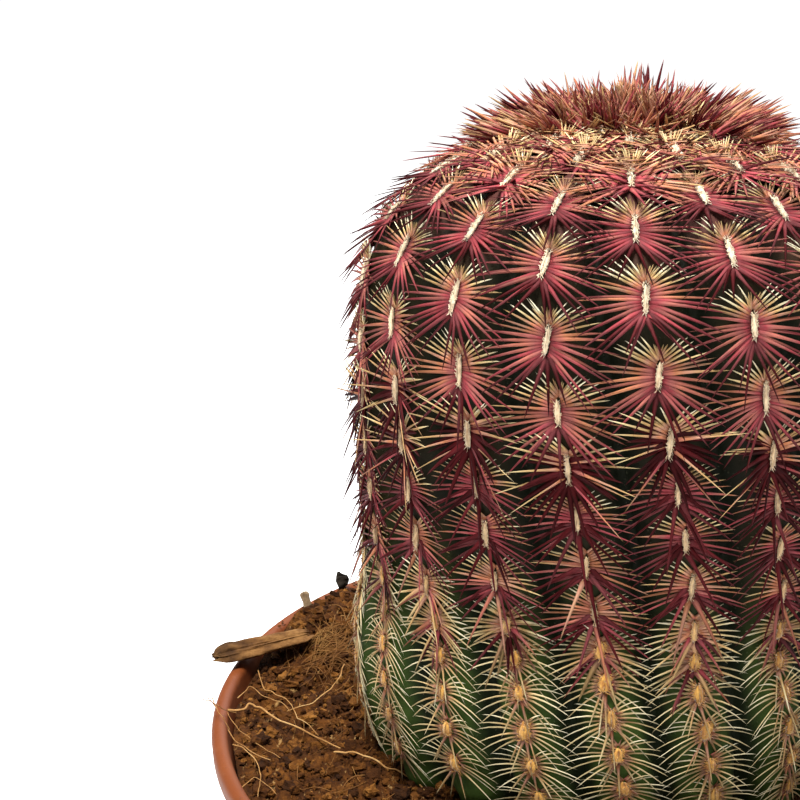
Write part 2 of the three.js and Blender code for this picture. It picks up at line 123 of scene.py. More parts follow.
class Finish:
    """A material: one Principled shader and the nodes that vary its colour, gloss and relief."""

    def __init__(self, name, **constants):
        self.material = bpy.data.materials.new(name)
        self.material.use_nodes = True
        self.tree = self.material.node_tree
        self.shader = self.tree.nodes["Principled BSDF"]
        for socket, value in constants.items():
            self.shader.inputs[socket.replace("_", " ")].default_value = value

    def node(self, kind, settings, sockets, output=0):
        new = self.tree.nodes.new("ShaderNode" + kind)
        for name, value in settings.items():
            setattr(new, name, value)
        pairs = sockets.items() if isinstance(sockets, dict) else enumerate(sockets)
        for key, value in pairs:
            if isinstance(value, Amount):
                value = value.socket
            if isinstance(value, bpy.types.NodeSocket):
                self.tree.links.new(value, new.inputs[key])
            else:
                new.inputs[key].default_value = value
        return new.outputs[output]

    def place(self):
        """The place on the piece, in metres."""
        return self.node("TexCoord", {}, {}, "Object")

    def height(self):
        return Amount(self, self.node("SeparateXYZ", {}, [self.place()], "Z"))

    def mark(self, name):
        """A number that the piece's mesh carries."""
        return Amount(self, self.node("Attribute", {"attribute_name": name}, {}, "Fac"))

    def grain(self, size, detail=4.0, roughness=0.55, stretch=(1, 1, 1)):
        """Cloudy noise with spots of about that size in metres."""
        place = self.node("Mapping", {}, {"Vector": self.place(), "Scale": stretch})
        sockets = {"Vector": place, "Scale": 1 / size, "Detail": detail, "Roughness": roughness}
        return Amount(self, self.node("TexNoise", {}, sockets, "Fac"))

    def cells(self, size):
        """Distance from the middle of the nearest of many small cells, as a part of their size."""
        sockets = {"Vector": self.place(), "Scale": 1 / size}
        return Amount(self, self.node("TexVoronoi", {}, sockets, "Distance"))

    def ramp(self, amount, *stops):
        result = self.node("ValToRGB", {}, [amount], "Color")
        elements = result.node.color_ramp.elements
        for number, (position, colour) in enumerate(stops):
            stop = elements[number] if number < len(elements) else elements.new(position)
            stop.position = position
            stop.color = (*colour, 1)
        return result

    def blend(self, amount, first, second, how="MIX"):
        settings = {"data_type": "RGBA", "blend_type": how}
        first, second = [(*c, 1) if isinstance(c, tuple) else c for c in (first, second)]
        return self.node("Mix", settings, {0: amount, 6: first, 7: second}, 2)

    def shaded(self, colour, amount):
        """The colour made darker or lighter, all three parts alike."""
        grey = self.node("CombineColor", {}, [amount, amount, amount])
        return self.blend(1.0, colour, grey, "MULTIPLY")

    def relief(self, amount, depth):
        """depth is in metres for a change of 1 in amount."""
        return self.node("Bump", {}, {"Height": amount, "Distance": depth, "Strength": 1.0})

    def wear(self, colour=None, gloss=None, relief=None):
        for name, value in (("Base Color", colour), ("Roughness", gloss), ("Normal", relief)):
            if value is not None:
                socket = value.socket if isinstance(value, Amount) else value
                self.tree.links.new(socket, self.shader.inputs[name])
        return self.material


def deselect():
    if bpy.context.object and bpy.context.object.mode != "OBJECT":
        bpy.ops.object.mode_set(mode="OBJECT")
    bpy.ops.object.select_all(action="DESELECT")


def dress(piece, name, material, replaced=None):
    """Names a finished piece, gives it its material and fixes it to the row's one body."""
    piece.name = name
    piece.data.name = name
    piece.data.materials.clear()
    piece.data.materials.append(material)
    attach(piece, "root")
    if replaced:
        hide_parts(replaced)


deselect()
bpy.ops.mesh.primitive_plane_add(size=12)
table = bpy.context.object
table.name = "table"
white = Finish("white_table", Roughness=0.6, Emission_Strength=0.86, Emission_Color=(1, 1, 1, 1))
dusty = white.ramp(white.grain(0.02), (0.0, (0.9, 0.9, 0.9)), (1.0, (0.94, 0.94, 0.94)))
table.data.materials.append(white.wear(dusty))


# ---- Pot ----
# A common round nursery pot, injection moulded in thin terracotta-coloured plastic with a rolled lip.
# Its floor is flat, with six round holes that let the water out.
POT_HEIGHT = 90.0
RIM = 52.5
POT_SIDES = 144
wall = 1.1
floor_thickness = 1.6
lip_thickness = 1.9
lip_height = 3.2
base_radius = 37.0
base_corner = 2.0


def wall_radius(height):
    return base_radius + (RIM - lip_thickness + wall - base_radius) * height / POT_HEIGHT


def round_edge(radius, height, bend, start, steps=5):
    """A quarter turn of an edge: points round the middle (radius, height) from the angle start."""
    turns = [math.radians(start + 90 * step / steps) for step in range(steps + 1)]
    return [(radius + bend * math.cos(t), height + bend * math.sin(t)) for t in turns]


def drawn_up(outline, sides):
    """Draws a disc up into a turned shape, left in edit mode: each (radius, height) of the outline is one
    extrusion."""
    deselect()
    radius, height = outline[0]
    bpy.ops.mesh.primitive_circle_add(vertices=sides, radius=radius, fill_type="NGON")
    bpy.ops.object.mode_set(mode="EDIT")
    bpy.ops.mesh.select_all(action="SELECT")
    bpy.ops.mesh.flip_normals()
    for next_radius, next_height in outline[1:]:
        bpy.ops.mesh.extrude_region_move(TRANSFORM_OT_translate={"value": (0, 0, next_height - height)})
        scale = next_radius / radius
        bpy.ops.transform.resize(value=(scale, scale, 1), center_override=(0, 0, 0))
        radius, height = next_radius, next_height


def edited():
    """Ends the editing of a shape, with its faces turned outward."""
    bpy.ops.mesh.select_all(action="SELECT")
    bpy.ops.mesh.normals_make_consistent(inside=False)
    bpy.ops.object.mode_set(mode="OBJECT")
    return bpy.context.object


def pick(piece):
    """Selects this piece alone, for the next operators."""
    deselect()
    piece.select_set(True)
    bpy.context.view_layer.objects.active = piece


def apply_modifier(piece, kind, **settings):
    pick(piece)
    modifier = piece.modifiers.new(kind.lower(), kind)
    for name, value in settings.items():
        setattr(modifier, name, value)
    bpy.ops.object.modifier_apply(modifier=modifier.name)


lip_foot = POT_HEIGHT - lip_height
lip_round = lip_thickness / 2
rolled_lip = round_edge(RIM - lip_round, POT_HEIGHT - lip_round, lip_round, 0)
rolled_lip += round_edge(RIM - lip_round, POT_HEIGHT - lip_round, lip_round, 90)[1:]
outline = [
    (base_radius - 2 * base_corner, 0), (base_radius - base_corner, 0),
    *round_edge(base_radius - base_corner, base_corner, base_corner - 0.35, -70, 3)[:3],
    *((wall_radius(h), h) for h in (base_corner, 20, 45, 70, lip_foot - 0.4)),
    (wall_radius(lip_foot) + 0.25, lip_foot), (RIM - 0.25, lip_foot + 0.4), (RIM - 0.08, lip_foot + 0.9),
    *rolled_lip,
    *((wall_radius(h) - wall, h) for h in (lip_foot, 70, 45, 20, floor_thickness + 1.2)),
    (wall_radius(0) - wall - 0.3, floor_thickness + 0.3), (wall_radius(0) - wall - 1.2, floor_thickness),
]
drawn_up([(radius * MM, height * MM) for radius, height in outline], POT_SIDES)
pot = edited()
deselect()
drain_ring = 24.0
drain_radius = 3.5
for hole in range(6):
    turn = math.radians(60 * hole)
    bpy.ops.mesh.primitive_cylinder_add(
        vertices=36, radius=drain_radius * MM, depth=0.01,
        location=(drain_ring * MM * math.cos(turn), drain_ring * MM * math.sin(turn), 0),
    )
    drill = bpy.context.object
    apply_modifier(pot, "BOOLEAN", operation="DIFFERENCE", object=drill, solver="EXACT")
    bpy.data.objects.remove(drill)
apply_modifier(pot, "BEVEL", width=0.00012, segments=2, limit_method="ANGLE", angle_limit=math.radians(70))
bpy.ops.object.shade_smooth_by_angle(angle=math.radians(40))

plastic = Finish("terracotta_plastic", Specular_IOR_Level=0.3)
cloud = plastic.grain(0.018, 3)
flow = plastic.grain(0.004, 5, 0.6, (1, 1, 0.12))
speck = plastic.grain(0.0007, 2, 0.5)
colour = plastic.ramp(cloud * 0.55 + flow * 0.45, (0.3, (0.15, 0.034, 0.0065)), (0.7, (0.195, 0.05, 0.01)))
colour = plastic.blend(speck.between(0.66, 0.74) * 0.45, colour, (0.1, 0.03, 0.015))
dusty = plastic.grain(0.0022, 6, 0.7).between(0.55, 0.75)
colour = plastic.blend(dusty * 0.16, colour, (0.32, 0.19, 0.12))
plastic.wear(colour, 0.52 + 0.2 * cloud + 0.12 * dusty, plastic.relief(speck * 0.6 + flow, 0.00006))
dress(pot, "pot_shell", plastic.material, "pot")


# ---- Stem ----
# One grown body with 18 broad ribs that climb in a slow spiral, a little swollen under every spine
# cluster, a rounded crown with a dip and a waist where growth once paused. The skin is dark green,
# and its colour is made darker still with painted shade under the spines and in the furrows.
STEM_OUTLINE = np.array([
    (0, -24), (9, -23.4), (16.5, -19.5), (21.4, -12), (24.2, -5), (26.6, 2), (28.2, 9), (28.4, 16),
    (27.4, 23), (27.7, 31), (28.1, 40), (28, 50), (26.8, 58), (22.2, 64), (15.6, 68), (8.5, 70.2),
    (3.5, 70.2), (0, 69.6),
], float)
RIBS = 18
rib_depth = 3.2
skin_inset = 0.12
first_rib = 31  # degrees from the front, at the height of the lip
climb = 0.43  # degrees back for each mm up
foot_x, foot_y = -5.7, -7.0  # the plant stands off the pot's middle
tilt_x, tilt_y = 0.01, -0.024  # and leans a little, in mm for each mm up


def smooth_outline(samples=6000):
    """A curve through the outline's points that leaves each along the line between its neighbours."""
    last = len(STEM_OUTLINE) - 1
    along = np.linspace(0, last, samples)
    first = np.minimum(along.astype(int), last - 1)
    part = (along - first)[:, None]
    before, start, end, after = (STEM_OUTLINE[np.clip(first + k, 0, last)] for k in (-1, 0, 1, 2))
    leaving, arriving = (end - before) / 2, (after - start) / 2
    cubic = (2 * start - 2 * end + leaving + arriving) * part ** 3
    square = (-3 * start + 3 * end - 2 * leaving - arriving) * part ** 2
    return cubic + square + leaving * part + start


fine_outline = smooth_outline()[::-1]
from_crown_table = np.concatenate([[0], np.cumsum(np.hypot(*np.diff(fine_outline, axis=0).T))])
STEM_LENGTH = from_crown_table[-1]


def outline_at(from_crown):
    """Radius and height above the lip, by the distance down the outline from the crown's middle."""
    return [np.interp(from_crown, from_crown_table, fine_outline[:, k]) for k in (0, 1)]


def on_stem(radius, height, turn):
    x = foot_x + tilt_x * height + radius * np.sin(turn)
    y = foot_y + tilt_y * height - radius * np.cos(turn)
    return np.stack([x, y, POT_HEIGHT + height], -1)


def from_stem(x, y):
    """Distance from the middle of the stem's foot."""
    return np.hypot(x - foot_x, y - foot_y)


def ease(value, low, high):
    """Goes smoothly from 0 at low to 1 at high. low may be the larger."""
    part = np.clip((value - low) / (high - low), 0, 1)
    return part * part * (3 - 2 * part)


def rib_turn(rib, height):
    """The ribs climb in a slow spiral. Low down they are narrower at the front and wider at the back."""
    shift = 3 * (1 - ease(height, 19, 30)) * np.sin(4 * np.pi * (rib + 1.2) / RIBS)
    return np.radians(first_rib + 360 / RIBS * rib - climb * height - shift)


# Distances of the spine clusters from the crown along a rib, closer where growth was slow
cluster_steps = [2.6, 4.2, 6.6] + 3 * [7] + [6.4] + 4 * [4.9] + 2 * [3.3] + 8 * [3.85]
cluster_distances = 3.4 + np.concatenate([[0], np.cumsum(cluster_steps)])
cluster_orders = np.arange(len(cluster_distances))


def rib_phase(rib):
    """How far down its clusters are shifted, as a part of the step from one to the next."""
    return (-rib * 11 % RIBS) / RIBS


def read(items, name, width=1, kind=float):
    """All the values of one property of a mesh's vertices, corners or faces."""
    values = np.empty(len(items) * width, kind)
    items.foreach_get(name, values)
    return values


def vertex_places(piece):
    return read(piece.data.vertices, "co", 3).reshape(-1, 3)


def wrapped(columns, rows, place):
    """Rolls a flat grid into a closed skin. place gives the mm place of each (round, down) from 0 to 1."""
    deselect()
    bpy.ops.mesh.primitive_grid_add(x_subdivisions=columns, y_subdivisions=rows, size=1)
    skin = bpy.context.object
    flat = vertex_places(skin)
    around = np.round((flat[:, 0] + 0.5) * columns).astype(int) % columns / columns
    down = np.round((flat[:, 1] + 0.5) * rows) / rows
    skin.data.vertices.foreach_set("co", (place(around, down) * MM).ravel())
    bpy.ops.object.mode_set(mode="EDIT")
    bpy.ops.mesh.select_all(action="SELECT")
    bpy.ops.mesh.remove_doubles(threshold=1e-7)
    edited()
    bpy.ops.object.shade_smooth()
    return skin


def stem_skin(around, down):
    from_crown = down * STEM_LENGTH
    radius, height = outline_at(from_crown)
    rib = np.floor(around * RIBS + 0.5)
    across = around * RIBS - rib
    depth = ease(from_crown, 2, 16) * ease(height, -16, -6)
    furrow = (2 * np.abs(across)) ** 2
    order = np.interp(from_crown, cluster_distances, cluster_orders)
    swelling = np.cos(2 * np.pi * (order - rib_phase(rib))) * (1 - furrow) ** 2 * depth
    swelling *= 0.16 + 0.1 * ease(from_crown, 60, 70)
    radius = radius - rib_depth * depth * furrow + swelling - skin_inset
    return on_stem(radius, height, rib_turn(around * RIBS, height))


def measure(piece, name, amounts):
    """Writes one number for each vertex of the piece, for its material to read."""
    attribute = piece.data.attributes.new(name, "FLOAT", "POINT")
    attribute.data.foreach_set("value", np.asarray(amounts, np.float32))


stem = wrapped(RIBS * 16, 240, stem_skin)
places = vertex_places(stem) / MM
height = places[:, 2] - POT_HEIGHT
offset = places[:, :2] - on_stem(0 * height, height, 0 * height)[:, :2]
turn = np.arctan2(offset[:, 0], -offset[:, 1])
rib_number = (np.degrees(turn) - first_rib + climb * height) / 360 * RIBS
for correction in range(4):
    turned_too_far = rib_turn(rib_number, height) - turn
    turned_too_far = (turned_too_far + np.pi) % (2 * np.pi) - np.pi
    rib_number = rib_number - np.degrees(turned_too_far) / 360 * RIBS
measure(stem, "furrow", (2 * np.abs(rib_number - np.round(rib_number))) ** 2)

skin = Finish("green_skin", Specular_IOR_Level=0.15)
cloud = skin.grain(0.006, 5)
fine = skin.grain(0.0006, 3)
furrow = skin.mark("furrow")
old = skin.height().between(0.126, 0.104)
# the skin's own dark green, made darker still as painted shade for the spines that cover it: near black on
# the upper growth, dark green lower down
colour = skin.ramp(cloud, (0.3, (0.008, 0.006, 0.0015)), (0.75, (0.02, 0.015, 0.003)))
green = skin.ramp(cloud, (0.3, (0.015, 0.033, 0.003)), (0.75, (0.053, 0.092, 0.014)))
colour = skin.blend(old, colour, green)
young = skin.height().between(0.148, 0.156)
colour = skin.blend(young, colour, (0.075, 0.025, 0.02))
# painted shade: the furrows between the ribs are darkened almost to black
colour = skin.blend(furrow.between(0.12, 0.7) * 0.92, colour, (0.002, 0.004, 0.0006))
dots = (1 - skin.cells(0.00045).between(0.12, 0.3)) * fine.between(0.5, 0.65)
colour = skin.blend(dots * 0.15, colour, (0.2, 0.21, 0.11))
skin.wear(colour, 0.55 + 0.3 * cloud, skin.relief(fine * 0.6 + dots * 0.6 + cloud, 0.00012))
dress(stem, "stem_skin", skin.material, "cactus")


# ---- Wool ----
# Each spine cluster grows out of a narrow cushion of short felted hairs along the rib. They are cream
# on the young growth and wear down to small orange-brown cushions near the soil. Each of the three
# pieces holds a third of them, all grown from one cushion.
def bell(distance, spread):
    return np.exp(-distance ** 2 / (2 * spread ** 2))


def soil_height(x, y):
    """The fill is pressed up round the stem and heaped at the front and at the back left."""
    collar = 2.2 * bell(np.maximum(0, from_stem(x, y) - 25), 6)
    heaps = 1.4 * bell(np.hypot(x + 42, y - 15), 9) + 3.6 * bell(np.hypot(x + 12, y + 34), 9)
    lumps = 0.45 * np.sin(0.55 * x + 1.3) * np.cos(0.47 * y)
    clods = 0.3 * np.sin(1.1 * x - 0.9 * y)
    return POT_HEIGHT - 2 + collar + heaps + lumps + clods


Cluster = namedtuple("Cluster", "distance place side out down")


def cluster_at(rib, distance):
    """A spine cluster's place on the crest of its rib and the three directions there."""
    radius, height = outline_at(distance)
    slope = np.array(outline_at(distance + 0.4)) - np.array(outline_at(distance - 0.4))
    fall, drop = slope / np.hypot(*slope)
    turn = rib_turn(rib, height)
    radial = np.array([np.sin(turn), -np.cos(turn), 0])
    up = np.array([0, 0, 1.0])
    down = radial * fall + up * drop
    out = -radial * drop + up * fall
    return Cluster(distance, on_stem(radius, height, turn), np.cross(out, down), out, down)


lowest_cluster = 2.1  # mm above the fill
clusters = []
for rib in range(RIBS):
    for order in cluster_orders[:-1]:
        cluster = cluster_at(rib, np.interp(order + rib_phase(rib), cluster_orders, cluster_distances))
        if cluster.place[2] > soil_height(*cluster.place[:2]) + lowest_cluster:
            clusters.append(cluster)


def modelled_spine(sides, outline):
    """One straight spine of length 1 along +Z, drawn out to a point."""
    drawn_up(outline, sides)
    bpy.ops.mesh.extrude_region_move(TRANSFORM_OT_translate={"value": (0, 0, 1 - outline[-1][1])})
    bpy.ops.mesh.merge(type="CENTER")
    return edited()


def along(stops, part):
    """The value at a part of the way through a row of evenly spaced stops."""
    stops = np.array(stops, float)
    place = part * (len(stops) - 1)
    low = np.minimum(np.int_(place), len(stops) - 2)
    return (stops[low].T * (low + 1 - place) + stops[low + 1].T * (place - low)).T


def grown(name, model, places, marks):
    """Joins bent copies of one modelled shape. A place holds an origin, three axes and a bend, in mm;
    a mark holds one number for each copy, or several from its foot to its tip."""
    shape = vertex_places(model)
    corners = read(model.data.loops, "vertex_index", kind=int)
    starts = read(model.data.polygons, "loop_start", kind=int)
    places = np.asarray(places, float)
    count = len(places)
    weights = np.column_stack([np.ones(len(shape)), shape, np.maximum(shape[:, 2], 0) ** 2])
    points = np.einsum("vw,cwk->cvk", weights, places) * MM
    mesh = bpy.data.meshes.new(name)
    mesh.vertices.add(count * len(shape))
    mesh.vertices.foreach_set("co", points.ravel())
    mesh.loops.add(count * len(corners))
    copies = np.arange(count)[:, None]
    mesh.loops.foreach_set("vertex_index", (corners + copies * len(shape)).ravel())
    mesh.polygons.add(count * len(starts))
    mesh.polygons.foreach_set("loop_start", (starts + copies * len(corners)).ravel())
    mesh.polygons.foreach_set("use_smooth", np.ones(count * len(starts), bool))
    mesh.update(calc_edges=True)
    piece = linked(name, mesh)
    for mark, amounts in marks.items():
        if np.ndim(amounts) == 2:
            spread = along(np.transpose(amounts), np.clip(shape[:, 2], 0, 1)).T
        else:
            spread = np.repeat(amounts, len(shape))
        measure(piece, mark, spread.ravel())
    return piece


def unit(vector):
    return vector / np.linalg.norm(vector)


draw = random.Random(11)


def stray(most):
    """A number drawn as far as most to either side of 0."""
    return draw.uniform(-most, most)


hair = modelled_spine(3, [(1.0, 0), (0.75, 0.55)])
hair_width, hair_depth = 0.13, 0.05  # in half widths of the cushion
tuft_count = 72
cushions = []
for variant in range(3):
    deselect()
    bpy.ops.mesh.primitive_uv_sphere_add(segments=9, ring_count=7, radius=1)
    cushion = bpy.context.object
    for vertex in cushion.data.vertices:
        lump = noise.noise(vertex.co * 2.3 + Vector((7 * variant, 0, 0)))
        vertex.co *= 0.85 + 0.35 * lump
    tufts = []
    for tuft in range(tuft_count):
        # tufts fringe both long sides between the spines, and some lie along the top
        hand = (-1, 1, 0)[tuft % 3]
        middle = stray(0.92)
        girth = math.sqrt(1 - middle ** 2)
        aim = np.array([hand * draw.uniform(0.5, 0.95), stray(0.35), draw.uniform(0.1, 0.6)])
        foot = np.array([hand * 0.6 * girth, middle, (0.25 if hand else 0.75) * girth])
        across = unit(np.cross(aim, (0.3, 1, 0.2)))
        other = np.cross(aim, across)
        curl = np.array([stray(0.25), stray(0.1), -0.15])
        tufts.append([foot, across * hair_width, other * hair_depth, aim, curl])
    fuzz = grown("fuzz", hair, np.array(tufts) / MM, {})
    pick(cushion)
    fuzz.select_set(True)
    bpy.ops.object.join()
    cushions.append(cushion)

felt = Finish("areole_wool", Roughness=0.9, Sheen_Weight=0.35)
strands = felt.grain(0.0004, 3, 0.6, (1, 1, 0.4))
worn = felt.mark("worn")
cream = felt.ramp(strands, (0.3, (0.42, 0.29, 0.16)), (0.58, (0.86, 0.74, 0.53)))
brown = felt.ramp(strands, (0.35, (0.26, 0.095, 0.011)), (0.65, (0.6, 0.32, 0.058)))
colour = felt.shaded(felt.blend(worn, cream, brown), felt.mark("tone"))
felt.wear(colour, None, felt.relief(strands, 0.0001))
for variant, cushion in enumerate(cushions):
    pads, wear, tone = [], [], []
    for number, cluster in enumerate(clusters):
        if number % 3 != variant:
            continue
        s = cluster.distance
        half_length = np.interp(
            s, [3, 9, 14, 20, 30, 45, 50, 62, 66], [0.6, 1.05, 1.45, 1.7, 1.65, 1.55, 1.4, 1.4, 1.05])
        half_width = np.interp(
            s, [3, 11, 24, 45, 50, 62, 66, 75], [0.26, 0.36, 0.3, 0.29, 0.28, 0.3, 0.54, 0.66])
        half_length *= draw.uniform(0.85, 1.15)
        half_width *= draw.uniform(0.85, 1.12)
        lean = stray(0.12)
        rise = np.interp(s, [14, 22, 62, 66], [1.7, 0.84, 0.84, 0.34]) * half_width
        down = unit(cluster.down + lean * cluster.side)
        foot = cluster.place + cluster.out * 0.15
        axes = (cluster.side * half_width, down * half_length, cluster.out * rise * 1.5)
        pads.append([foot, *axes, np.zeros(3)])
        wear.append(np.interp(s, [28, 38, 50, 61, 66], [0.0, 0.25, 0.5, 0.6, 1.0]))
        tone.append(draw.uniform(0.8, 1.1))
    wool = grown("wool", cushion, pads, {"worn": wear, "tone": tone})
    dress(wool, f"areole_wool_{variant + 1}", felt.material, None)
    bpy.data.objects.remove(cushion)


# ---- Spines ----
# Forty or so thin stiff spines stand in each cluster: an even comb to each side of it, a tuft of short
# ones at its top and dark ones that sweep down from it. Their colours follow the seasons' growth.

# A comb is told from its first spine to its last: how many a side, where they root along the cushion
# (-1 top, 1 bottom), which way they point (0 up the rib, 180 down), lengths and widths in mm, degrees
# off the skin, how far the tips fall in and sweep down as parts of the length, how ragged the comb is,
# and its dyes, each from foot to tip in hundredths: 0 ivory, 14 straw, 30 tan, 42 peach, 48 orange,
# 61 rose, 67 crimson, 77 mauve, 85 wine, 100 maroon.
Comb = namedtuple("Comb", "count roots turns lengths widths leans droop sweep ragged dyes")
brush_combs = [
    Comb(5, (-1.1, -0.8), (4, 50), (1.6, 2.4), (0.19, 0.19), (52, 60), 0, 0, 0.5, [
        (40, 28, 14, 8, 4), (44, 34, 26, 18, 12)]),
    Comb(11, (-1, 1), (30, 160), (3.6, 5, 5), (0.48, 0.46), (36, 24, 16), 0, 0.06, 0.8, [
        (52, 46, 38, 32, 26), (62, 54, 44, 38, 30), (47, 38, 32, 28, 22),
        (76, 70, 62, 52, 44), (56, 48, 40, 34, 28)]),
    Comb(2, (-0.5, 0.5), (30, 150), (4, 5.2), (0.42, 0.36), (66, 48), 0, 0.1, 1, [
        (90, 92, 88, 80, 72), (66, 62, 56, 46, 38)]),
]
shoulder_combs = [
    Comb(6, (-1.15, -0.9), (3, 44), (1.7, 2.5), (0.19, 0.19), (38, 48), 0, 0, 0.4, [
        (46, 35, 22, 14, 8), (50, 38, 28, 20, 14)]),
    Comb(16, (-1.05, 1), (30, 146), (2.8, 4, 5.6, 6.7, 6.6, 5.6), (0.22, 0.29, 0.36, 0.39, 0.38),
         (22, 15, 10, 9), 0.06, 0.05, 0.2, [
        (46, 30, 10, 2, 0), (62, 44, 30, 22, 12), (68, 60, 41, 34, 26),
        (68, 63, 47, 40, 33), (68, 65, 56, 49, 42), (69, 67, 69, 70, 62)]),
    Comb(9, (-0.8, 0.9), (52, 122), (4.4, 5.8, 5.2), (0.38, 0.46), (5, 4), 0.04, 0.04, 0.3, [
        (60, 52, 44, 38, 34), (66, 60, 50, 43, 38), (68, 66, 60, 54, 48)]),
    Comb(3, (0.2, 1.1), (115, 172), (4.2, 5.6), (0.38, 0.34), (34, 18), 0, 0.1, 0.8, [
        (72, 78, 84, 88, 86), (68, 68, 72, 76, 70)]),
]
upper_combs = [
    Comb(5, (-1.15, -0.9), (3, 44), (1.2, 2.1), (0.2, 0.2), (18, 34), 0, 0, 0.5, [
        (48, 42, 36, 28, 22), (46, 38, 32, 26, 18)]),
    Comb(15, (-1.05, 0.9), (32, 138), (2.9, 3.8, 4.9, 6.3, 7, 7, 6.6),
         (0.18, 0.21, 0.25, 0.29, 0.31, 0.3), (15, 11, 9, 10, 14), 0.1, 0.06, 0.2, [
        (48, 24, 0, 0, 0), (56, 32, 4, 0, 0), (66, 44, 24, 8, 0),
        (69, 54, 48, 54, 46), (69, 56, 57, 66, 64), (69, 58, 62, 72, 70),
        (70, 62, 68, 78, 75), (72, 74, 80, 85, 84)]),
    Comb(2, (0.7, 1.1), (142, 168), (4.4, 5.8), (0.33, 0.32), (24, 16), 0, 0.1, 0.6, [
        (72, 76, 82, 86, 86), (76, 80, 84, 88, 90)]),
]
# the first spines of the second year are the same, but straw and tan
tan_combs = [upper_combs[0], upper_combs[1]._replace(dyes=[
    (47, 30, 4, 0, 0), (52, 36, 12, 4, 0), (64, 46, 30, 20, 10),
    (67, 52, 44, 46, 38), (68, 54, 52, 60, 54), (69, 58, 60, 70, 66),
    (72, 66, 72, 82, 80)]), upper_combs[2]]
band_combs = [
    Comb(7, (-1.1, -0.2), (30, 84), (2.4, 3.8, 5.6, 6.6), (0.2, 0.24, 0.28), (14, 12, 16), 0.08, 0.06, 0.4, [
        (46, 32, 6, 0, 0), (52, 38, 28, 16, 6), (56, 46, 34, 26, 18)]),
    Comb(11, (-0.6, 1.05), (60, 166), (3.4, 4.8, 5.2), (0.5, 0.46, 0.42), (9, 14, 22), 0.05, 0.1, 0.5, [
        (88, 90, 93, 88, 82), (95, 97, 96, 93, 88)]),
    Comb(3, (-0.2, 0.9), (80, 140), (6.4, 7.6), (0.2, 0.18), (16, 24), 0.08, 0.05, 0.8, [
        (60, 46, 36, 28, 16), (50, 40, 32, 24, 12), (80, 70, 54, 40, 30)]),
]
middle_combs = [
    Comb(13, (-1.1, 0.9), (36, 126), (2.4, 3.3, 4.3, 5.3, 5.9, 6.1), (0.18, 0.21, 0.25, 0.28), (12, 9, 8, 11),
         0.1, 0.1, 0.2, [
        (54, 42, 14, 2, 0), (60, 48, 22, 8, 2), (64, 56, 36, 20, 10),
        (70, 65, 54, 42, 26), (72, 70, 72, 74, 58), (75, 74, 77, 81, 74),
        (78, 80, 83, 86, 82)]),
    Comb(3, (0, 1.05), (112, 168), (4.8, 6), (0.36, 0.34), (16, 24), 0, 0.12, 0.6, [
        (86, 87, 90, 90, 86), (92, 95, 96, 94, 90), (80, 84, 89, 88, 84)]),
]
orange_combs = [
    middle_combs[0]._replace(dyes=[
        (50, 40, 14, 2, 0), (50, 44, 22, 8, 0), (50, 46, 32, 20, 10),
        (50, 47, 40, 32, 24), (56, 52, 52, 56, 44), (74, 70, 78, 84, 60),
        (82, 80, 86, 90, 78)]),
    middle_combs[1]._replace(dyes=[
        (78, 82, 88, 92, 88), (90, 93, 95, 93, 88), (50, 46, 44, 46, 40)]),
]
waist_combs = [
    Comb(12, (-1.15, 0.8), (34, 118), (2.6, 3.9, 5, 5.4), (0.2, 0.25, 0.27), (12, 9, 9), 0.1, 0.14, 0.35, [
        (52, 34, 12, 3, 0), (54, 36, 20, 8, 3), (56, 40, 26, 16, 8)]),
    Comb(3, (0, 1), (112, 160), (4.2, 5.2), (0.34, 0.3), (12, 20), 0.05, 0.14, 0.7, [
        (48, 40, 33, 28, 22), (92, 92, 88, 78, 60), (44, 36, 30, 26, 22)]),
    Comb(2, (0, 1.1), (120, 172), (3.2, 4.4), (0.48, 0.42), (8, 14), 0, 0.1, 1, [
        (44, 38, 33, 30, 26), (95, 97, 97, 95, 90), (40, 34, 30, 27, 24)]),
]
lower_combs = [
    Comb(9, (-0.9, 1), (26, 118), (2.8, 4, 4.9, 5.2, 4.8, 4), (0.16, 0.18, 0.19, 0.18), (14, 10, 8, 8),
         0.16, 0.38, 0.22, [
        (47, 23, 12, 8, 5), (48, 25, 13, 9, 6), (49, 29, 16, 12, 8)]),
    Comb(2, (0.4, 1.2), (140, 176), (3, 4.2), (0.24, 0.22), (6, 12), 0.05, 0.1, 0.8, [
        (50, 36, 26, 16, 8), (50, 42, 34, 26, 18), (50, 34, 20, 12, 5)]),
    Comb(9, (-1, 0.6), (20, 130), (1, 1.5, 1.1), (0.13, 0.12), (20, 34, 24), 0.1, 0.1, 0.9, [
        (50, 49, 48, 44, 38), (52, 50, 46, 40, 32), (49, 48, 46, 40, 30)]),
]
# how far down from the crown each kind of comb reaches, in mm
seasons = [(8.8, brush_combs), (19, shoulder_combs), (36, upper_combs), (43.5, tan_combs), (49, band_combs),
           (56, middle_combs), (62.5, orange_combs), (67, waist_combs), (200, lower_combs)]

spine = modelled_spine(4, [(2.2, 0), (1.75, 0.1), (1.2, 0.26), (0.95, 0.46), (0.72, 0.7), (0.36, 0.9)])


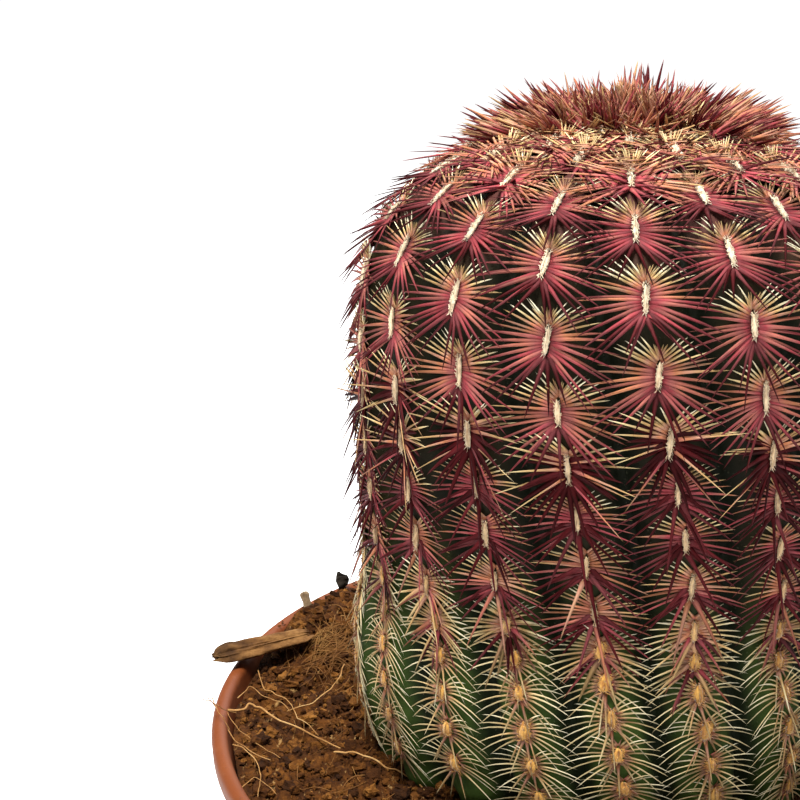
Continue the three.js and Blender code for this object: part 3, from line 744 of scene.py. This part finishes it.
class Thicket:
    """Spines gathered for one piece: how far down from the crown it reaches, in mm, and the painted light
    on them: their zone's painted brightness, and the painted shade at their coloured tips."""

    def __init__(self, reach, zone_painted_light, tip_painted_shade):
        self.reach = reach
        self.zone_painted_light = zone_painted_light
        self.tip_painted_shade = tip_painted_shade
        self.places = []
        self.dyes = []
        self.tones_and_painted_light = []

    def add(self, root, aim, facing, length, width, bend, dyes):
        """The flat of the spine turns to the way that facing points."""
        across = unit(np.cross(aim, facing + [stray(0.25) for axis in range(3)]))
        flatness = 0.4 if width > 0.33 else 0.75
        other = np.cross(aim, across)
        self.places.append([root, across * width / 2, other * width / 2 * flatness, aim * length, bend])
        self.dyes.append(np.clip(dyes + stray(0.06), 0, 1))
        # painted light along a spine: a painted glow near its foot and painted shade towards its tip,
        # but ivory tips stay bright
        painted_glow_peak = 1.22
        tip = np.interp(dyes[-1], [0.08, 0.35], [1.1, self.tip_painted_shade])
        fall = painted_glow_peak - tip
        # the zone's painted light times a random tone of the spine's own
        tone_and_painted_light = self.zone_painted_light * draw.uniform(0.62, 1.2)
        parts = (0.98, painted_glow_peak, painted_glow_peak - 0.45 * fall, painted_glow_peak - 0.8 * fall, tip)
        self.tones_and_painted_light.append([tone_and_painted_light * part for part in parts])


def grow_comb(thicket, cluster, comb, half_length, half_width):
    def varied(value, little, much):
        """The value moved a little by chance, and further the more ragged the comb is."""
        return value + stray(little) + stray(much) * comb.ragged

    for hand in (-1, 1):
        for number in range(comb.count):
            part = (number + 0.5 + stray(0.6) * comb.ragged) / comb.count
            part = min(max(part, 0.0), 1.0)
            root_along = along(comb.roots, part)
            turn = math.radians(varied(along(comb.turns, part), 2, 12))
            lean = math.radians(varied(along(comb.leans, part), 2, 14))
            length = along(comb.lengths, part) * varied(1, 0.05, 0.2)
            width = along(comb.widths, part) * draw.uniform(0.88, 1.12)
            edge = half_width * math.sqrt(max(1 - root_along ** 2, 0.05))
            root = cluster.place + hand * edge * cluster.side + root_along * half_length * cluster.down
            root = root - 0.12 * cluster.out
            flat_aim = hand * math.sin(turn) * cluster.side - math.cos(turn) * cluster.down
            aim = flat_aim * math.cos(lean) + cluster.out * math.sin(lean)
            bend = length * (comb.sweep * cluster.down - comb.droop * cluster.out)
            tip = root + aim * length + bend
            if tip[2] < soil_height(tip[0], tip[1]) + 0.5:
                continue
            dye_part = min(max(part + stray(0.5) * comb.ragged, 0.0), 1.0)
            dyes = along(comb.dyes, dye_part) / 100 + 0.04 * bell(cluster.distance - 24, 4)
            thicket.add(root, aim, cluster.out, length, width, bend, dyes)


# painted light by zone: the spines at the crown are painted brighter, where the light from above falls, and
# those low down darker
thickets = {
    "brush_spines": Thicket(0, 1.28, 0.8),
    "crown_spines": Thicket(19, 1.36, 0.68),
    "upper_spines": Thicket(46, 0.93, 0.58),
    "middle_spines": Thicket(64, 0.94, 0.72),
    "lower_spines": Thicket(200, 0.68, 0.66),
}
for cluster in clusters:
    s = cluster.distance
    thicket = next(thicket for thicket in thickets.values() if s < thicket.reach)
    half_length = np.interp(s, [3, 9, 14, 20, 45, 50, 62, 66], [0.8, 1.1, 1.5, 1.7, 1.6, 1.45, 1.4, 1.0])
    half_width = np.interp(s, [3, 14, 45, 66], [0.33, 0.36, 0.31, 0.28])
    season = next(combs for limit, combs in seasons if s + stray(1.0) < limit)
    for comb in season:
        grow_comb(thicket, cluster, comb, half_length, half_width)
# the youngest spines stand so close in the dip of the crown that their clusters can't be told apart, and
# lean over one another in locks; they grow from no cluster, so their piece reaches 0 mm down
crown_dyes = np.array([
    (67, 62, 56, 50, 44), (78, 74, 70, 66, 58), (92, 94, 92, 86, 78),
    (67, 60, 52, 45, 40), (74, 69, 64, 60, 52), (64, 56, 46, 38, 32),
])
crown_height = 70
lock_count = 170
spines_in_lock = 9
young_width = 0.4
for lock in range(lock_count):
    rib = draw.uniform(0, RIBS)
    # the brush reaches further down the sides and the back, and keeps clear of the first whole fans in front
    spread = ease(math.cos(rib_turn(rib, crown_height)), 0.9, 0.2)
    distance = (7.0 + 6.6 * spread) * math.sqrt(draw.uniform(0.003, 1))
    cluster = cluster_at(rib, distance)
    aim = cluster.out + stray(0.6) * (1 + distance / 14) * cluster.side
    aim = aim + (stray(0.4) + (0.05 + 0.06 * spread) * distance) * cluster.down
    lock_dye = draw.randrange(len(crown_dyes))
    lock_length = draw.uniform(3.6, 5.6) * (1 + 0.1 * spread * ease(distance, 6, 8))
    for number in range(spines_in_lock):
        own_aim = unit(aim + stray(0.2) * cluster.side + stray(0.2) * cluster.down)
        foot = cluster.place - 0.1 * cluster.out
        foot = foot + stray(0.8) * cluster.side + stray(0.6) * cluster.down
        dyes = crown_dyes[lock_dye if draw.random() < 0.75 else draw.randrange(len(crown_dyes))] / 100
        bend = stray(0.5) * cluster.side + draw.uniform(-0.2, 0.8) * cluster.down
        length = lock_length * draw.uniform(0.75, 1.1)
        facing = cluster.down + cluster.out
        thickets["brush_spines"].add(foot, own_aim, facing, length, young_width, bend, dyes)

horn = Finish("spine_horn", Specular_IOR_Level=0.07)
mottle = horn.grain(0.0012, 3)
streak = horn.grain(0.0005, 2, 0.5, (1, 1, 0.3))
dye = horn.mark("dye") + (mottle - 0.5) * 0.14
colour = horn.ramp(
    dye,
    (0.0, (0.78, 0.73, 0.54)),
    (0.14, (0.57, 0.46, 0.245)),
    (0.3, (0.41, 0.255, 0.105)),
    (0.42, (0.38, 0.192, 0.132)),
    (0.48, (0.375, 0.15, 0.072)),
    (0.54, (0.335, 0.11, 0.078)),
    (0.61, (0.275, 0.086, 0.076)),
    (0.67, (0.265, 0.042, 0.05)),
    (0.72, (0.185, 0.04, 0.046)),
    (0.77, (0.125, 0.03, 0.033)),
    (0.85, (0.072, 0.008, 0.01)),
    (0.92, (0.044, 0.003, 0.004)),
    (1.0, (0.02, 0.0015, 0.002)),
)
# each spine's dye is scaled by its mark: a random tone, the zone's painted light, a painted glow near the
# foot and painted shade at the coloured tips
colour = horn.shaded(colour, horn.mark("tone_and_painted_light") + (streak - 0.5) * 0.25)
horn.wear(colour, 0.45 + 0.25 * mottle, horn.relief(streak, 0.00003))
for name, thicket in thickets.items():
    piece = grown(name, spine, thicket.places, {"dye": thicket.dyes, "tone_and_painted_light": thicket.tones_and_painted_light})
    dress(piece, name, horn.material, None)
for model in (spine, hair):
    bpy.data.objects.remove(model)


# ---- Fill ----
# Peat and coir crumbs, poured in round the plant by hand: pressed up against the stem and heaped at the
# front and the back left. Larger crumbs and finer grit lie loose on it.
soil_edge = wall_radius(POT_HEIGHT - 2) - wall - 0.3
soil_floor = floor_thickness + 0.3


def crumbly(x, y, z):
    place = np.stack([x, y, z], -1)
    rough = [noise.fractal(Vector(p) * 0.55, 0.8, 2.1, 6) + 0.5 * noise.cell(Vector(p) * 1.4) for p in place]
    return np.array(rough)


def spilled(x, y):
    """At the back left loose fill is heaped higher still, up to the top of the lip and over it."""
    bearing = np.degrees(np.arctan2(y, -x))
    past_chip = ease(bearing, 8, 20) * ease(bearing, 85, 60)
    return 1.9 * past_chip * ease(np.hypot(x, y), 30, 44) * (x < 0)


# rows of the fill's skin: radius and height, those of the hole from the stem's foot and the lip's height
hole_rows = [(0.0, -24.6), (16.8, -19.9), (21.9, -12.2), (23.6, -7.5)]
mouth_radius = 22.0
top_rows = 84
side_rows = [(wall_radius(h) - wall - 0.3, h) for h in (78, 60, 40, 20, soil_floor + 1.5)]
side_rows += [(wall_radius(soil_floor) - wall - 1.6, soil_floor), (0.0, soil_floor)]
fill_row_count = len(hole_rows) + top_rows + len(side_rows)


def ring(radius, height, turn):
    return np.stack([radius * np.sin(turn), -radius * np.cos(turn), height + 0 * turn], -1)


def soil_skin(around, down):
    """Rows run from the bottom of the stem's hole up its side, out over the top, and down to the floor."""
    turn = around * 2 * np.pi
    row = np.round(down * (fill_row_count - 1)).astype(int)
    places = np.zeros((len(row), 3))
    for number in range(fill_row_count):
        own = row == number
        t = turn[own]
        if number < len(hole_rows):
            radius, height = hole_rows[number]
            places[own] = on_stem(radius, height + 0 * t, t)
            continue
        step = number - len(hole_rows)
        if step < top_rows:
            part = (step / (top_rows - 1)) ** 1.1
            inner = on_stem(mouth_radius, 0 * t, t)
            outer = ring(soil_edge, 0, t)
            x, y = (inner[:, k] * (1 - part) + outer[:, k] * part for k in (0, 1))
            z = soil_height(x, y) + spilled(x, y)
            z = z + 0.75 * crumbly(x, y, z) * min(1, 6 * (1 - part))
            places[own] = np.stack([x, y, z], -1)
            continue
        radius, height = side_rows[step - top_rows]
        places[own] = ring(radius, height, t)
    return places


soil = wrapped(400, fill_row_count - 1, soil_skin)

peat = Finish("peat_and_coir", Roughness=0.95, Specular_IOR_Level=0.15)
lumps = peat.grain(0.0035, 6, 0.65)
fine = peat.grain(0.0007, 4, 0.7)
thread = peat.grain(0.0008, 3, 0.6, (1, 0.15, 1))
colour = peat.ramp(
    lumps * 0.6 + fine * 0.4,
    (0.32, (0.014, 0.005, 0.0015)),
    (0.46, (0.043, 0.0135, 0.0022)),
    (0.58, (0.108, 0.037, 0.0058)),
    (0.72, (0.26, 0.105, 0.019)),
)
colour = peat.blend(thread.between(0.62, 0.7) * 0.6, colour, (0.42, 0.25, 0.09))
peat.wear(colour, None, peat.relief(lumps * 0.6 + fine + thread * 0.5, 0.0006))
dress(soil, "soil_bed", peat.material, "soil")


def strewn(count, smallest, largest, slender):
    """Loose grains lying on the fill, clear of the stem. Some small ones lie on the lip at the back left."""
    places, tones = [], []
    while len(places) < count:
        x, y = stray(soil_edge), stray(soil_edge)
        size = smallest + (largest - smallest) * draw.random() ** 2.2
        on_lip = spilled(x, y) > 1.2 and size < 0.8 and draw.random() < 0.6
        edge = RIM - 0.9 if on_lip else soil_edge
        if math.hypot(x, y) + size > edge or from_stem(x, y) - size < 24.5:
            continue
        beyond_fill = math.hypot(x, y) + size > soil_edge
        z = POT_HEIGHT + 0.1 if beyond_fill else float(soil_height(x, y) + spilled(x, y))
        turn, tip = draw.uniform(0, 2 * math.pi), stray(0.6)
        turned = Matrix.Rotation(turn, 3, "Z") @ Matrix.Rotation(tip, 3, "X")
        sizes = (size, size * draw.uniform(slender, 0.9), size * draw.uniform(slender, 0.75))
        axes = [np.array(turned.col[k]) * sizes[k] for k in range(3)]
        places.append([np.array([x, y, z + 0.35 * size]), *axes, np.zeros(3)])
        tones.append(draw.uniform(0, 1))
    return places, tones


crumb_peat = Finish("loose_peat", Roughness=0.95, Specular_IOR_Level=0.15)
lumps = crumb_peat.grain(0.002, 5, 0.65)
fine = crumb_peat.grain(0.0005, 4, 0.7)
amount = lumps * 0.35 + fine * 0.3 + crumb_peat.mark("tone") * 0.35
colour = crumb_peat.ramp(
    amount,
    (0.25, (0.014, 0.005, 0.0015)),
    (0.45, (0.05, 0.016, 0.0028)),
    (0.6, (0.12, 0.043, 0.007)),
    (0.76, (0.3, 0.128, 0.026)),
)
crumb_peat.wear(colour, None, crumb_peat.relief(lumps + fine, 0.0004))
for name, fineness, lump_height, lump_density, *amounts in (
    ("soil_crumbs", 2, 0.75, 1.9, 2400, 0.3, 1.15, 0.45),
    ("soil_grit", 1, 0.6, 2.7, 9500, 0.16, 0.6, 0.2),
):
    deselect()
    bpy.ops.mesh.primitive_ico_sphere_add(subdivisions=fineness, radius=1)
    model = bpy.context.object
    for vertex in model.data.vertices:
        vertex.co *= 1 + lump_height * noise.noise(vertex.co * lump_density)
    places, tones = strewn(*amounts)
    crumbs = grown(name, model, places, {"tone": tones})
    crumbs.data.polygons.foreach_set("use_smooth", np.zeros(len(crumbs.data.polygons), bool))
    dress(crumbs, name, crumb_peat.material, None)
    bpy.data.objects.remove(model)


# ---- Root fibres ----
# Pale dried roots, thin as thread, lie over the crumbs in loose curves, and two poke out over the lip.
# Brown threads of coir husk lie all over the fill, with a tuft of them at the inner end of the bark.
def strand_path(points, curve):
    spline = curve.splines.new("NURBS")
    spline.points.add(len(points) - 1)
    for point, place in zip(spline.points, points):
        x, y, z, radius = place
        point.co = (x * MM, y * MM, z * MM, 1)
        point.radius = radius
    spline.order_u = 3
    spline.use_endpoint_u = True
    spline.resolution_u = 3


def strand_curve(name):
    curve = bpy.data.curves.new(name, "CURVE")
    curve.dimensions = "3D"
    curve.bevel_depth = 0.1 * MM
    curve.bevel_resolution = 1
    curve.use_fill_caps = True
    return curve


def threads(curve, material):
    """Turns the drawn strands into a finished piece of mesh."""
    pick(linked(curve.name, curve))
    bpy.ops.object.convert(target="MESH")
    bpy.ops.object.shade_smooth()
    dress(bpy.context.object, curve.name, material, None)


root_curve = strand_curve("root_fibres")
# the strands at the left that catch the eye, in mm, each with how many times the thread's thickness
main_strands = [
    (1.5, [(-50.5, -8.7, 89.4), (-48.6, -8.2, 89.3), (-48, -6.7, 89.4), (-46.7, -6.9, 89.2),
           (-44.2, -9.2, 89.4), (-41.4, -11.6, 89.8), (-37.8, -14.5, 90.2), (-34.5, -17.5, 90.6)]),
    (1.1, [(-35.1, -18.1, 90.5), (-33.3, -17.9, 90.6), (-30.7, -19.6, 91.2), (-28.3, -22.5, 91.8),
           (-26, -23.3, 91.6), (-23.3, -27.3, 92.4)]),
    (0.7, [(-52.4, -7.5, 90.4), (-50, -10.8, 89.2), (-47.7, -14.7, 89.1), (-45.2, -17.1, 89.1),
           (-42.3, -19.6, 89.6)]),
    (0.6, [(-48.9, 1.7, 89.8), (-46.9, -3.1, 89.7), (-44.8, -3.9, 89.4), (-42.6, -6.5, 89.7),
           (-41.3, -10, 90), (-39.7, -11, 89.8), (-37.8, -13.7, 90)]),
    (0.8, [(-38.1, 3.1, 90.8), (-38.3, -0.3, 90.4), (-38.8, -2.4, 90), (-40.4, -5.8, 89.8),
           (-43, -7.5, 89.4)]),
    (0.7, [(-40.6, 16.5, 91), (-41.7, 16, 91.2), (-42.6, 14.9, 91), (-43.1, 10.9, 90.4)]),
    (0.6, [(-49.5, -5.9, 89.8), (-49.2, -1.6, 89.2), (-47, -4.2, 89.5), (-45.2, -4.8, 89.2),
           (-42.8, -7, 89.4)]),
    (0.7, [(-47.5, -16.3, 89.3), (-45.6, -17.5, 89.4), (-43.3, -20.6, 89.5), (-42.1, -23.9, 89.5),
           (-41.8, -26.6, 89.2)]),
    (0.5, [(-44.2, -25.1, 89.2), (-43.1, -22.8, 89.3), (-40.9, -24.7, 89.5), (-40.1, -25.6, 89)]),
    (0.5, [(-51.4, -5.1, 89.9), (-49.6, -9.9, 89.4), (-47.4, -13.2, 89.4), (-43.9, -16.4, 89.3),
           (-41.2, -18.8, 89.6)]),
    # these two poke out over the lip
    (0.6, [(-48.8, -9.4, 89.4), (-50, -11.4, 91.3), (-51, -11.8, 92.1), (-51.9, -12.1, 92.6),
           (-52.7, -12.8, 93)]),
    (0.5, [(-48.6, -13, 89.2), (-50.1, -12.4, 91.3), (-51.2, -11.3, 91.8), (-51.9, -11.2, 92.8),
           (-52, -12.9, 93.2)]),
]
for thickness, places in main_strands:
    kinked = []
    steps = 3 * len(places)
    for number in range(steps - 2):
        place = along(places, number / (steps - 3))
        kinks = [stray(0.16) for axis in range(3)]
        tapered = thickness * (1.15 - 0.55 * number / steps) * draw.uniform(0.85, 1.1)
        kinked.append((*(place + kinks), tapered))
    strand_path(kinked, root_curve)
coir_curve = strand_curve("coir_threads")
thread_count = 620
thread_step = 1.2
for number in range(thread_count):
    # a third lie in the tuft and the others anywhere
    in_tuft = number % 3 == 0
    if in_tuft:
        x, y = draw.gauss(-40.8, 2.2), draw.gauss(6.8, 2.3)
        heading = math.radians(draw.gauss(35, 35))
        curl = stray(0.25)
    else:
        x, y = stray(48), stray(48)
        heading = draw.uniform(0, 2 * math.pi)
        curl = stray(0.4)
    thickness = draw.choice([0.25, 0.35, 0.45, 0.6])
    lift = draw.uniform(0.2, 1.5)
    path = []
    for step in range(draw.randint(4, 9)):
        if math.hypot(x, y) > soil_edge - 1 or from_stem(x, y) < 26.5:
            break
        arch = lift * math.sin(step * 1.1)
        level = float(soil_height(x, y) + spilled(x, y)) + 0.6 + arch * 0.5
        path.append((x, y, level, thickness * draw.uniform(0.85, 1.1)))
        heading += curl + stray(0.25)
        x += thread_step * math.cos(heading)
        y += thread_step * math.sin(heading)
    if len(path) > 3:
        strand_path(path, coir_curve)


def coir_finish(name, dark, middle, pale):
    coir = Finish(name, Roughness=0.75, Specular_IOR_Level=0.2)
    tint = coir.grain(0.009, 3)
    fine = coir.grain(0.0006, 3)
    colour = coir.ramp(tint * 0.7 + fine * 0.3, (0.35, dark), (0.5, middle), (0.68, pale))
    coir.wear(colour, None, coir.relief(fine, 0.00005))
    return coir.material


pale_root = coir_finish("pale_root", (0.2, 0.088, 0.024), (0.38, 0.2, 0.066), (0.56, 0.37, 0.16))
threads(root_curve, pale_root)
brown_coir = coir_finish("brown_coir", (0.075, 0.028, 0.005), (0.165, 0.068, 0.015), (0.29, 0.15, 0.042))
threads(coir_curve, brown_coir)


# ---- Bits on the lip ----
# A splinter of bark lies across the lip at the left with its inner end on the fill, and a pale and a
# dark crumb stand on the lip further back. All three are split and fibrous along their length.
def splinter(start, end, width, thickness, seed, split, blunt):
    """A long block rounded and torn at its ends, its underside on the line from start to end, in mm."""
    deselect()
    bpy.ops.mesh.primitive_cube_add(size=1)
    block = bpy.context.object
    bpy.ops.object.mode_set(mode="EDIT")
    bpy.ops.mesh.subdivide(number_cuts=15)
    bpy.ops.object.mode_set(mode="OBJECT")
    start, end = Vector(start), Vector(end)
    length = (end - start).length
    heading = (end - start).normalized()
    sideways = Vector((-heading.y, heading.x, 0)).normalized()
    upward = heading.cross(sideways) * (1 if heading.cross(sideways).z > 0 else -1)
    for vertex in block.data.vertices:
        part, across, high = vertex.co
        ends = math.sqrt(max(1 - abs(2 * part) ** blunt, 0.0))
        girth = (0.5 + 0.5 * ends) * (0.86 + 0.14 * math.sin(5 * part + seed))
        round_off = max(abs(across), abs(high)) / max(math.hypot(across, high), 1e-6)
        ridge = noise.noise(Vector((part * 1.2, across * split, high * split + seed)))
        torn = noise.noise(Vector((seed, across * split * 1.3, high * split * 1.3)))
        rough = noise.noise(Vector((part * length * 1.1, across * 6, high * 6 + seed)))
        along_it = part * length * (1 + 0.22 * torn * abs(2 * part) ** 3)
        out = girth * round_off * (0.9 + 0.45 * ridge + 0.22 * rough)
        place = (start + end) / 2 + heading * along_it
        place += sideways * across * width * out + upward * thickness * (0.5 + high * out)
        vertex.co = place * MM
    apply_modifier(block, "SUBSURF", levels=1, render_levels=1)
    bpy.ops.object.shade_smooth()
    return block


def bark_finish(name, dark, middle, pale, direction, painted_shade_outer_end=False):
    bark = Finish(name, Roughness=0.9, Specular_IOR_Level=0.2)
    stripes = bark.grain(0.0011, 5, 0.65, direction)
    clouds = bark.grain(0.0028, 4)
    colour = bark.ramp(stripes * 0.6 + clouds * 0.4, (0.36, dark), (0.5, middle), (0.64, pale))
    if painted_shade_outer_end:
        # painted shade: the splinter's outer end, out over the lip, is darkened
        colour = bark.shaded(colour, 0.45 + 0.55 * bark.mark("inward").between(0.05, 0.45))
    bark.wear(colour, None, bark.relief(stripes + 0.5 * clouds, 0.0004))
    return bark.material


chip_start, chip_end = (-54.2, 1.2, 90.3), (-44.4, 9.6, 90.2)
bark_chip = splinter(chip_start, chip_end, 3.9, 2.3, 3, 3.2, 9)
inward = (vertex_places(bark_chip)[:, 0] / MM - chip_start[0]) / (chip_end[0] - chip_start[0])
measure(bark_chip, "inward", inward)
browns = (0.05, 0.02, 0.006), (0.15, 0.068, 0.02), (0.3, 0.155, 0.05)
split = bark_finish("split_bark", *browns, (0.5, 0.5, 1), painted_shade_outer_end=True)
dress(bark_chip, "bark_splinter", split, "bark_chip")
pale = splinter((-47.0, 20.2, 89.9), (-47.6, 20.9, 92.0), 1.7, 1.3, 5, 2.0, 2)
greys = (0.1, 0.06, 0.03), (0.2, 0.135, 0.075), (0.32, 0.235, 0.145)
weathered = bark_finish("weathered_bark", *greys, (1, 1, 0.5))
dress(pale, "pale_bark_crumb", weathered, "pale_crumb")
dark = splinter((-44.0, 27.2, 89.9), (-42.4, 27.6, 90.1), 1.7, 2.6, 9, 2.0, 3)
blacks = (0.006, 0.005, 0.004), (0.014, 0.011, 0.008), (0.035, 0.026, 0.018)
black = bark_finish("black_peat", *blacks, (1, 1, 0.5))
dress(dark, "dark_peat_crumb", black, "dark_crumb")
